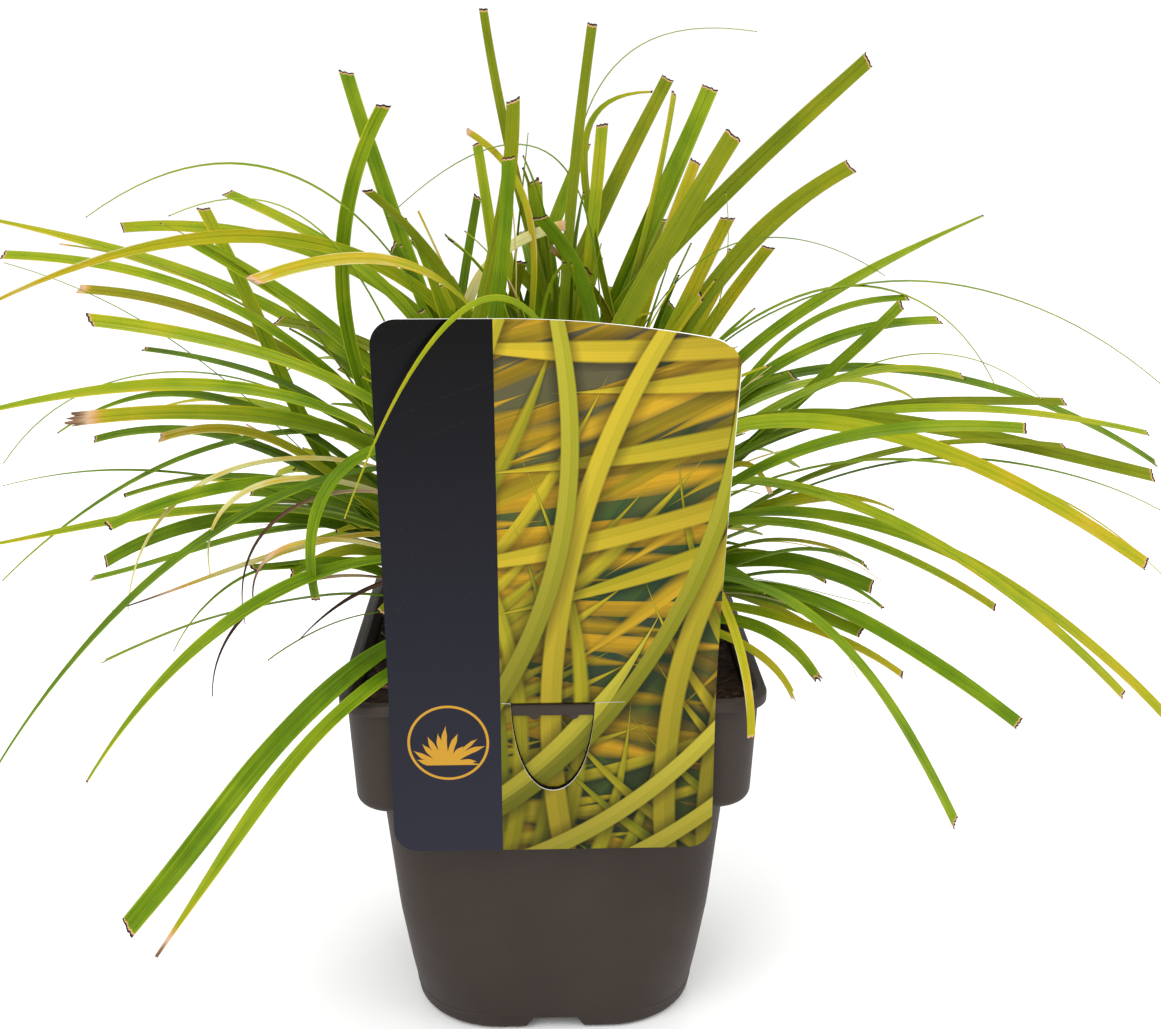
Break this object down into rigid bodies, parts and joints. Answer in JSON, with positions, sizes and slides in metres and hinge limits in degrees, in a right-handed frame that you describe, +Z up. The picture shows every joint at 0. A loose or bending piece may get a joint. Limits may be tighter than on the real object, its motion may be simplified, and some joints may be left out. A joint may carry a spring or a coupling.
{
  "type": "potted carex sedge",
  "caption": "Tussock of arching strap leaves growing in a square plastic nursery pot, with a tall plant label clipped over the front rim.",
  "frame": {"origin": "middle of the pot's underside, on the surface it stands on", "axes": "+Z up, -Y towards the face with the plant label, +X to the right seen from that face"},
  "size_m": [0.4573, 0.3347, 0.3341],
  "materials": {
    "pot_plastic": "matt recycled polypropylene, taupe grey",
    "peat": "loose damp peat with bark fibres",
    "sheath": "pale green and straw leaf sheaths",
    "leaf_blade": "satin living leaf, yellow-green with green margins",
    "label_print": "glossy printed polypropylene sheet, plain white back"
  },
  "bodies": {
    "root": {"pot": "pot_plastic", "substrate": "peat", "crown": "sheath", "plant_label": "label_print", "leaf_right_01": "leaf_blade", "leaf_right_02": "leaf_blade", "leaf_right_03": "leaf_blade", "leaf_right_04": "leaf_blade", "leaf_right_05": "leaf_blade", "leaf_right_06": "leaf_blade", "leaf_right_07": "leaf_blade", "leaf_right_08": "leaf_blade", "leaf_right_09": "leaf_blade", "leaf_right_10": "leaf_blade", "leaf_right_11": "leaf_blade", "leaf_right_12": "leaf_blade", "leaf_right_13": "leaf_blade", "leaf_right_14": "leaf_blade", "leaf_right_15": "leaf_blade", "leaf_right_16": "leaf_blade", "leaf_right_17": "leaf_blade", "leaf_right_18": "leaf_blade", "leaf_right_19": "leaf_blade", "leaf_upright_01": "leaf_blade", "leaf_upright_02": "leaf_blade", "leaf_upright_03": "leaf_blade", "leaf_upright_04": "leaf_blade", "leaf_upright_05": "leaf_blade", "leaf_upright_06": "leaf_blade", "leaf_upright_07": "leaf_blade", "leaf_left_01": "leaf_blade", "leaf_left_02": "leaf_blade", "leaf_left_03": "leaf_blade", "leaf_left_04": "leaf_blade", "leaf_left_05": "leaf_blade", "leaf_left_06": "leaf_blade", "leaf_left_07": "leaf_blade", "leaf_left_08": "leaf_blade", "leaf_left_09": "leaf_blade", "leaf_left_10": "leaf_blade", "leaf_left_11": "leaf_blade", "leaf_left_12": "leaf_blade", "leaf_left_13": "leaf_blade", "leaf_left_14": "leaf_blade", "leaf_left_15": "leaf_blade", "leaf_left_16": "leaf_blade", "leaf_left_17": "leaf_blade", "leaf_left_18": "leaf_blade", "leaf_left_19": "leaf_blade", "leaf_left_20": "leaf_blade", "leaf_left_21": "leaf_blade", "leaf_back_01": "leaf_blade", "leaf_back_02": "leaf_blade", "leaf_back_03": "leaf_blade", "leaf_back_04": "leaf_blade", "leaf_back_05": "leaf_blade", "leaf_back_06": "leaf_blade", "leaf_back_07": "leaf_blade", "leaf_back_08": "leaf_blade", "leaf_back_09": "leaf_blade"}
  },
  "joints": []
}
